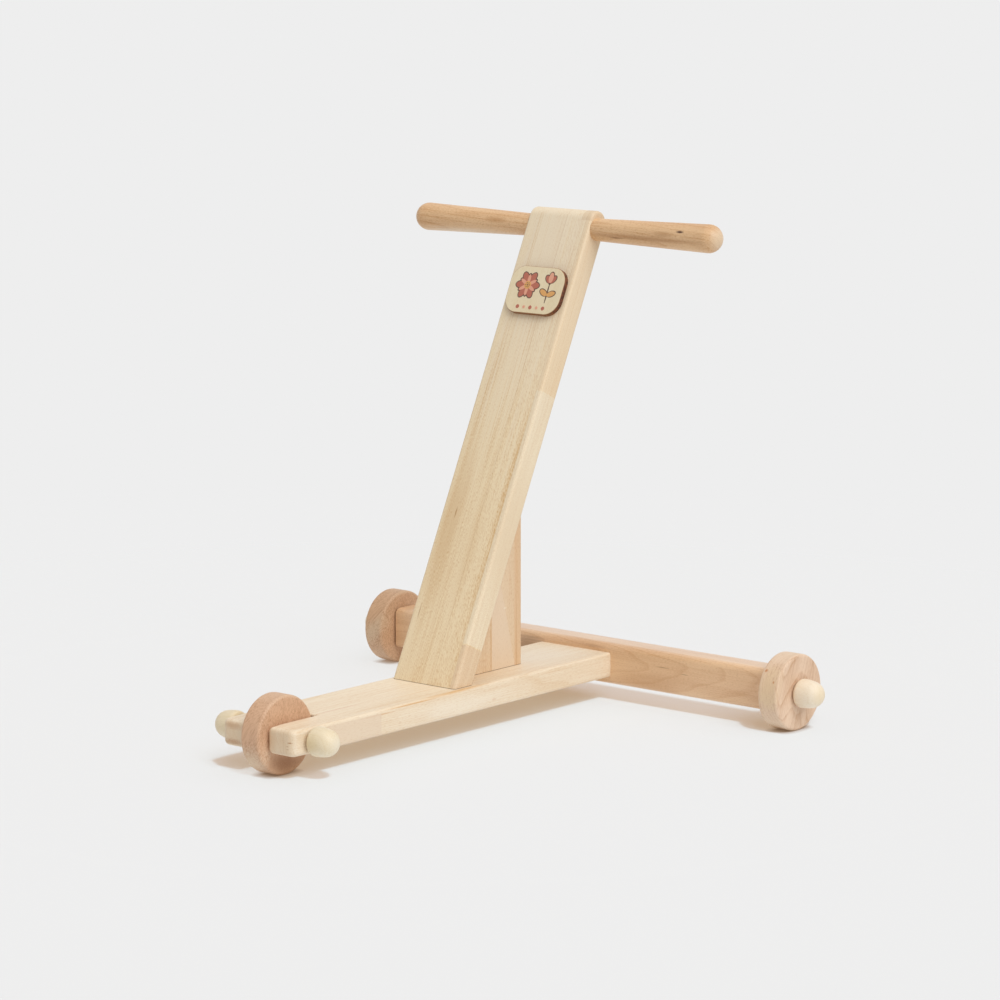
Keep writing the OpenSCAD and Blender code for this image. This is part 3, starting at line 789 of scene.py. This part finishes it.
def cross_beam():
    """A bar whose section, seen along X, is a rectangle with two large and two small round
    corners, carried along X. Its end edges are eased."""
    low, high = beam_low[1:], beam_high[1:]
    s, b = BEAM_LOW_ROUND, BEAM_TOP_ROUND
    outline = np.vstack([arc((low[0] + s, low[1] + s), s, 180, 270, BEAM_LOW_STEPS),
                         arc((high[0] - s, low[1] + s), s, 270, 360, BEAM_LOW_STEPS),
                         arc((high[0] - b, high[1] - b), b, 0, 90, BEAM_TOP_STEPS),
                         arc((low[0] + b, high[1] - b), b, 90, 180, BEAM_TOP_STEPS)])
    points, faces = slab(slab_rings(outline, np.ones(len(outline)), beam_low[0], beam_high[0],
                                    BEAM_END_ROUND, BEAM_END_ROUND))
    piece = new_piece("beam", points, faces, along_x, "frame", beam_wood)
    rear_y = (beam_low[1] + beam_high[1]) / 2
    holes = beam_joint_holes()
    for side, node in ((-1, "rear_axle_left"), (1, "rear_axle_right")):
        low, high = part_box(node)
        inner = min(low.x * side, high.x * side)
        holes.append(dowel_hole((side * beam_high[0], rear_y, axle_z), (-side, 0, 0),
                                beam_high[0] - inner, axle_r, OVERRUN))
    drill(piece, holes)
    return piece


def gusset_dowel_holes():
    """The holes that the post and the gusset share, square to the post."""
    low, high = (np.array(c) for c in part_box("gusset_dowels"))
    radius = (high[0] - low[0]) / 2
    # The box of one slanted dowel is len cos + 2 r sin deep and len sin + 2 r cos high
    half = np.array([0, GUSSET_DOWEL_LEN * lean_cos + 2 * radius * lean_sin,
                     GUSSET_DOWEL_LEN * lean_sin + 2 * radius * lean_cos]) / 2
    into = np.array([0, lean_cos, -lean_sin])
    centres = (low + half) * (0, 1, 1), (high - half) * (0, 1, 1)
    return [dowel_hole(centre - into * GUSSET_DOWEL_LEN / 2, into, GUSSET_DOWEL_LEN, radius)
            for centre in centres]


def main_post():
    """A slab across X whose outline, seen from the side, is two straight edges, half a circle
    over the top and a slanted foot. The foot stays sharp, flush with the board."""
    top = (post_high[2] - post_t / 2 - foot[2] + post_t / 2 * lean_sin) / lean_cos
    rise = np.linspace(0, 1, POST_POINTS)[:, None]
    back_foot = post_t * lean_sin / lean_cos
    front_line = np.hstack([0 * rise, rise * top])
    back_line = np.hstack([0 * rise + post_t, back_foot + rise * (top - back_foot)])
    round_top = arc((post_t / 2, top), post_t / 2, 180, 0, POST_TOP_STEPS)
    outline = np.vstack([front_line[:-1], round_top, back_line[::-1][1:]])[::-1]
    weights = np.ones(len(outline))
    weights[-1] = 0
    rings = slab_rings(outline, weights, post_low[0], post_high[0], POST_ROUND, POST_ROUND)
    points, faces = slab(rings)
    piece = new_piece("post", points, faces, lambda p: post_frame(along_x(p)), "frame", post_wood)
    core_start = (post_low[0], handle_centre[1], handle_centre[2])
    holes = [dowel_hole(core_start, (1, 0, 0), post_w, core_r, OVERRUN, OVERRUN)]
    holes += [shank_hole(start, ALONG_POST) for start in post_screw_starts()]
    drill(piece, gusset_dowel_holes() + holes)
    return piece


def rear_gusset():
    """A slab across X whose outline, seen from the side, is a tall triangle with a blunt tip.
    Only its free back edges are rounded; the foot and the slope are flush with board and post."""
    (y0, z0), (y1, z1) = gusset_low[1:], gusset_high[1:]
    outline = np.array([[y0, z0], [y1, z0], [y1, z1], [y1 - GUSSET_TIP, z1]])
    weights = np.array([0.0, 1.0, GUSSET_TIP_SHARE, 0.0])
    rings = slab_rings(outline, weights, gusset_low[0], gusset_high[0], GUSSET_ROUND, GUSSET_ROUND)
    points, faces = slab(rings)
    piece = new_piece("gusset", points, faces, along_x, "frame", gusset_wood)
    holes = [shank_hole(start, (0, 0, 1)) for start in gusset_screw_starts()]
    drill(piece, gusset_dowel_holes() + holes)
    return piece


def grip(side):
    """A turned grip: radius rises in a straight line from the post, then follows a half
    circle. Its end holds the blind bore of the dowel that joins both grips."""
    thick = (grip_high[2] - grip_low[2]) / 2
    length = grip_high[0] - grip_low[0]
    straight = length - thick
    z = np.linspace(0, straight, GRIP_POINTS)[:, None]
    taper = np.hstack([z, GRIP_D_IN / 2 + (thick - GRIP_D_IN / 2) * z / straight])
    dome = arc((straight, 0), thick, 90, 0, GRIP_TIP_STEPS)[1:]
    bore = core_r + GLUE_GAP
    profile = np.vstack([[[GRIP_BORE, 0], [GRIP_BORE, bore], [0, bore]], taper, dome])
    profile[-1, 1] = 0
    points, faces = turned(profile, GRIP_SEGMENTS)
    name = "grip_right" if side > 0 else "grip_left"
    start = (side * post_w / 2, handle_centre[1], handle_centre[2])
    return new_piece(name, points, faces, on_axis(start, (side, 0, 0)), "frame", grip_wood)


def wheel(node):
    """A turned wheel: a closed profile with a chamfered bore, flat faces and a rim whose two
    edges are quarter circles."""
    low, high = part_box(node)
    r, w, e, bore = wheel_r, wheel_w, WHEEL_ROUND, axle_r + RUNNING_CLEAR
    near = np.array([[BORE_CHAMFER, bore], [0, bore + BORE_CHAMFER], [0, 2 * bore],
                     [0, r - e - HOLD]])
    rim = arc((e, r - e), e, 180, 90, WHEEL_RIM_STEPS)
    half = np.vstack([near, rim, [[e + HOLD, r]]])
    profile = np.vstack([half, (half * [-1, 1] + [w, 0])[::-1]])
    points, faces = turned(profile, WHEEL_SEGMENTS)
    centre = (low + high) / 2
    return new_piece(node + "_wood", points, faces,
                     on_axis((low.x, centre.y, centre.z), (1, 0, 0)), node, wheel_woods[node])


def cap(node, side):
    """A turned cap with a round tip: a rounded flat end, a long side arc and a smaller arc at
    the tip that meet without a corner. A blind bore takes the axle."""
    low, high = (np.array(c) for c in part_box(node))
    r, length, e, tip = (high[2] - low[2]) / 2, high[0] - low[0], CAP_ROUND, CAP_TIP_ROUND
    tip_z = length - tip
    side_r = ((tip_z - e) ** 2 + r ** 2 - tip ** 2) / (2 * (r - tip))
    join = math.degrees(math.atan2(side_r - r, tip_z - e))
    bore = axle_r + GLUE_GAP
    profile = np.vstack([[[CAP_BORE, 0], [CAP_BORE, bore], [0, bore], [0, (bore + r - e) / 2]],
                         arc((e, r - e), e, 180, 90, CAP_RIM_STEPS),
                         arc((e, r - side_r), side_r, 90, join, CAP_SIDE_STEPS)[1:],
                         arc((tip_z, 0), tip, join, 0, CAP_TIP_STEPS)[1:]])
    profile[-1, 1] = 0
    points, faces = turned(profile, CAP_SEGMENTS)
    x = low[0] if side > 0 else high[0]
    start = (x, (low[1] + high[1]) / 2, (low[2] + high[2]) / 2)
    return new_piece(node + "_wood", points, faces, on_axis(start, (side, 0, 0)), "frame",
                     cap_woods[node.split("_")[0]])


def plaque():
    """A thin plate on the post's face: a rectangle with large round corners. Its front edge
    is eased by a small round."""
    half_w, half_h = (plaque_high[0] - plaque_low[0]) / 2, PLAQUE_H / 2
    c = PLAQUE_CORNER
    outline = np.vstack([
        arc((sx * (half_w - c), sy * (half_h - c)), c, a, a + 90, PLAQUE_CORNER_STEPS)
        for sx, sy, a in ((1, 1, 0), (-1, 1, 90), (-1, -1, 180), (1, -1, 270))])
    rings = slab_rings(outline, np.ones(len(outline)), GLUE_GAP, PLAQUE_T, 0.0, PLAQUE_EASE)
    points, faces = slab(rings)
    return new_piece("plaque", points, faces, on_plaque, "frame", plaque_ply())


def on_plaque(points):
    """From the plaque's own (across, up along the post, out of the post's face)."""
    axes = np.array([(1, 0, 0), ALONG_POST, plaque_normal])
    return plaque_centre - plaque_normal * PLAQUE_T + points @ axes


def petal(centre, turn, length, width):
    """An oval from centre outwards along turn degrees, in mm: half the width w(t) =
    width sin t / 2 at length (1 - cos t) / 2, with t from 0 to 360 degrees."""
    t = np.radians(np.arange(0, 360, PETAL_STEP_DEG))
    x, y = length * (1 - np.cos(t)) / 2, -width * np.sin(t) / 2
    a = math.radians(turn)
    return (np.array(centre) + np.stack([x * np.cos(a) - y * np.sin(a),
                                         x * np.sin(a) + y * np.cos(a)], 1)) * MM


def dot(x_mm, y_mm, radius_mm):
    """A round spot."""
    last = 360 - DOT_STEP_DEG
    return arc((x_mm * MM, y_mm * MM), radius_mm * MM, 0, last, last // DOT_STEP_DEG)


def print_shapes(name, layer, shapes, material):
    """Printed shapes in one colour on the plaque's face, as closed low plates. Each layer is
    INK_T higher than the one before it."""
    points, faces = [], []
    for outline in shapes:
        count, first = len(outline), sum(len(q) for q in points)
        points += [np.column_stack([outline, np.full(count, PLAQUE_T + h)])
                   for h in (0, layer * INK_T)]
        faces += ring_faces(2, count, first)
        faces += [[first + i for i in range(count)][::-1],
                  [first + count + i for i in range(count)]]
    return new_piece(name, np.vstack(points), faces, on_plaque, "frame", material)


def print_motif():
    """A flower, a bud on its stem with two leaves, and a row of dots, all but the dots drawn
    over slightly larger dark shapes that stay visible as outlines. Places and sizes are in mm
    from the plaque's centre: a petal has its start, turn, length and width."""
    plum, red = ink("ink_dark_plum", "#4A2A30"), ink("ink_dusty_red", "#B65B50")
    salmon, orange = ink("ink_salmon", "#E8A48D"), ink("ink_orange_tan", "#E2A661")
    flower, bud, knot = (-9.5, 4), (14, 7.5), (14, -4)
    large, small = range(0, 360, 60), range(30, 390, 60)
    dots_y, seeds_r = -16, 2
    leaves = [(knot, 20, 9, 4.6), (knot, 150, 9, 4.6)]
    bud_leaves = [(bud, 50, 8, 4.6), (bud, 130, 8, 4.6), (bud, 90, 9.5, 5)]
    outlines = [(flower, a, 13.6, 8) for a in large] + [(flower, a, 11, 5.2) for a in small]
    outlines += [(c, a, r + 1, w + 1.5) for c, a, r, w in leaves + bud_leaves]
    print_shapes("print_outlines", 1, [petal(*o) for o in outlines]
                 + [petal(bud, -90, 19, 1.5), dot(*bud, 1.6)], plum)
    print_shapes("print_petals", 2, [petal(flower, a, 12.7, 6.4) for a in large]
                 + [petal(*b) for b in bud_leaves[:2]]
                 + [dot(x, dots_y, 1.8) for x in (-14, 0, 14)], red)
    print_shapes("print_pale_petals", 3, [petal(flower, a, 9.8, 3.2) for a in small]
                 + [petal(*bud_leaves[2])] + [dot(x, dots_y, 1.4) for x in (-7, 7)], salmon)
    print_shapes("print_leaves", 4, [petal(*leaf) for leaf in leaves]
                 + [dot(*flower, 3.6)], orange)
    seeds = [(flower[0] + seeds_r * math.cos(a), flower[1] + seeds_r * math.sin(a))
             for a in np.radians(large)]
    print_shapes("print_seeds", 5, [dot(*seed, 0.5) for seed in seeds]
                 + [dot(*flower, 0.7)], plum)


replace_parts(plaque(), "post_plaque")
print_motif()
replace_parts(base_board(), "base_board")
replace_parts(cross_beam(), "cross_beam")
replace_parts(main_post(), "main_post")
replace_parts(rear_gusset(), "rear_gusset")
for side, word in ((-1, "left"), (1, "right")):
    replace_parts(grip(side), "handle_grip_" + word)
    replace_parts(cap("front_cap_" + word, side), "front_cap_" + word)
    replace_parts(cap("rear_cap_" + word, side), "rear_cap_" + word)
    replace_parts(wheel("rear_wheel_" + word), "rear_wheel_" + word)
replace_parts(wheel("front_wheel"), "front_wheel")

# The nodes that keep their CAD shape
for material, nodes in (
        (dowel_wood, ("front_axle", "rear_axle_left", "rear_axle_right", "handle_core_dowel",
                      "beam_dowels", "gusset_dowels")),
        (beam_wood, ("beam_screw_plugs",)),
        (zinc_steel(), ("post_screws", "gusset_screws", "beam_screws"))):
    for node in nodes:
        frame["nodes"][node].data.materials.clear()
        frame["nodes"][node].data.materials.append(material)


# Camera, floor and light

CAMERA_PLACE = (2.1721, -2.5077, 0.7555)
CAMERA_AZIMUTH = 39.984
CAMERA_ELEVATION = 9.509
CAMERA_LENS_MM = 143.35
BACKGROUND = "#EEEEEE"
FLOOR_RADIUS = 2.4
FLOOR_SIDES = 64
# How far from the centre the floor starts to fade, and where it has gone
FADE_START, FADE_END = 0.5, 1.3
FLOOR_PAPER = "#8EA6B6"
FLOOR_CONTACT_SHADE = "#6B5644"
FLOOR_GLOW = "#B39374"
# How near a piece the floor's glow dims, as painted shade, and what is left of it: where it
# stands, and around
FLOOR_CONTACT = 7 * MM
FLOOR_NEAR = 60 * MM
CONTACT_GLOW = 0.35
NEAR_GLOW = 0.84
SKY = "#FFF9F2"
SKY_STRENGTH = 0.45
SHADOWS_FROM = (0.82, -0.47, 1.0)
# Name, direction towards the lamp, strength, angle, colour, what it lights
LAMPS = (("side", (0.85, -0.20, 0.75), 1.41, 45, "#FFFFFF", "pieces"),
         ("top", (0.0, 0.0, 1.0), 0.77, 60, "#FFFFFF", "pieces"),
         ("floor_key", SHADOWS_FROM, 1.5, 3, "#EDFDFF", "floor"),
         ("floor_wide", SHADOWS_FROM, 0.6, 8, "#EDFDFF", "floor"),
         ("floor_wheel", SHADOWS_FROM, 0.85, 8, "#EDFDFF", "floor"),
         ("floor_fill", SHADOWS_FROM, 1.0, 40, "#FFCBC3", "floor"),
         ("floor_soft", (1.15, -0.66, 1.0), 1.3, 40, "#FFFFFF", "floor"))
# The pieces that keep each lamp's light from the floor
SHADED_BY = {"floor_key": ("board", "beam", "rear_wheel_right_wood", "front_cap_right_wood",
                           "rear_cap_right_wood"),
             "floor_wide": ("board", "beam", "rear_wheel_right_wood", "front_cap_right_wood"),
             "floor_wheel": ("board", "beam", "front_wheel_wood", "rear_wheel_right_wood",
                             "front_cap_right_wood"),
             "floor_fill": ("board", "rear_wheel_right_wood"),
             "floor_soft": ("board", "rear_wheel_right_wood")}


def set_camera():
    """The photo's own view, fitted to the outlines measured in it."""
    camera = bpy.data.cameras.new("camera")
    camera.lens = CAMERA_LENS_MM
    holder = bpy.data.objects.new("camera", camera)
    holder.location = CAMERA_PLACE
    holder.rotation_euler = (math.radians(90 - CAMERA_ELEVATION), 0, math.radians(CAMERA_AZIMUTH))
    bpy.context.scene.collection.objects.link(holder)
    bpy.context.scene.camera = holder


def set_floor():
    """A pale disc of paper that fades into the backdrop's own colour at its edge. Part of its
    colour is its own warm glow, painted light as on a light table, so that shadows stay pale and
    brown. Near the pieces its colour darkens and its glow dims, as painted shade."""
    a = np.linspace(0, 2 * np.pi, FLOOR_SIDES, endpoint=False)
    points = np.stack([FLOOR_RADIUS * np.cos(a), FLOOR_RADIUS * np.sin(a), 0 * a], 1)
    floor = new_object("floor", points, [list(range(FLOOR_SIDES))])
    material, tree, shader = new_material("floor_paper")
    shader.inputs["Emission Color"].default_value = linear(FLOOR_GLOW)
    shader.inputs["Roughness"].default_value = 1.0
    shader.inputs["Specular IOR Level"].default_value = 0.0
    where = add(tree, "TexCoord", {}, out="Object")
    # Painted shade: near a piece the paper turns darker and its glow dims
    near = add(tree, "AmbientOcclusion", {"Distance": FLOOR_CONTACT}, out="AO")
    paper = add(tree, "Mix", {"Factor": near, "A": FLOOR_CONTACT_SHADE, "B": FLOOR_PAPER}, **COLOURS)
    tree.links.new(paper, shader.inputs["Base Color"])
    wide = add(tree, "AmbientOcclusion", {"Distance": FLOOR_NEAR}, out="AO")
    glow = add(tree, "MapRange", {"Value": near, "To Min": CONTACT_GLOW})
    dim = add(tree, "MapRange", {"Value": wide, "To Min": NEAR_GLOW})
    glow = add(tree, "Math", {0: glow, 1: dim}, operation="MULTIPLY")
    tree.links.new(glow, shader.inputs["Emission Strength"])
    far = add(tree, "VectorMath", {0: where}, operation="LENGTH", out="Value")
    fade = add(tree, "MapRange", {"Value": far, "From Min": FADE_START, "From Max": FADE_END})
    clear = add(tree, "BsdfTransparent", {})
    mixed = add(tree, "MixShader", {0: fade, 1: shader.outputs[0], 2: clear})
    tree.links.new(mixed, tree.nodes["Material Output"].inputs["Surface"])
    floor.data.materials.append(material)


def group(name, objects):
    """A collection that only says which objects a lamp lights, or is shaded by."""
    made = bpy.data.collections.new(name)
    for obj in objects:
        made.objects.link(obj)
    return made


def set_light():
    """An even sky, a broad lamp from the camera's right, a broad one above, and some for the
    floor alone, from crisp to soft. As in a retouched product photo, only the low pieces shade the
    floor from them."""
    meshes = [o for o in bpy.context.scene.objects if o.type == "MESH"]
    lit = {"floor": group("lit_floor", [o for o in meshes if o.name == "floor"]),
           "pieces": group("lit_pieces", [o for o in meshes if o.name != "floor"])}
    for name, towards, strength, angle, code, lights in LAMPS:
        lamp = bpy.data.lights.new(name, "SUN")
        lamp.energy, lamp.angle, lamp.color = strength, math.radians(angle), linear(code)[:3]
        holder = bpy.data.objects.new(name, lamp)
        holder.rotation_euler = Vector(towards).to_track_quat("Z", "Y").to_euler()
        bpy.context.scene.collection.objects.link(holder)
        holder.light_linking.receiver_collection = lit[lights]
        if name in SHADED_BY:
            holder.light_linking.blocker_collection = group(
                name + "_shaded_by", [bpy.data.objects[piece] for piece in SHADED_BY[name]])
    world = bpy.data.worlds.new("studio")
    bpy.context.scene.world = world
    world.use_nodes = True
    tree = world.node_tree
    light = add(tree, "Background", {"Color": SKY, "Strength": SKY_STRENGTH})
    seen = add(tree, "Background", {"Color": BACKGROUND, "Strength": 1.0})
    path = add(tree, "LightPath", {}, out=None)
    straight = add(tree, "Math", {0: path["Is Camera Ray"], 1: path["Is Glossy Ray"]},
                   operation="MAXIMUM")
    straight = add(tree, "Math", {0: straight, 1: path["Is Transmission Ray"]},
                   operation="MAXIMUM")
    mixed = add(tree, "MixShader", {0: straight, 1: light, 2: seen})
    tree.links.new(mixed, tree.nodes["World Output"].inputs["Surface"])


set_camera()
set_floor()
set_light()
bpy.context.scene.view_settings.view_transform = "Standard"
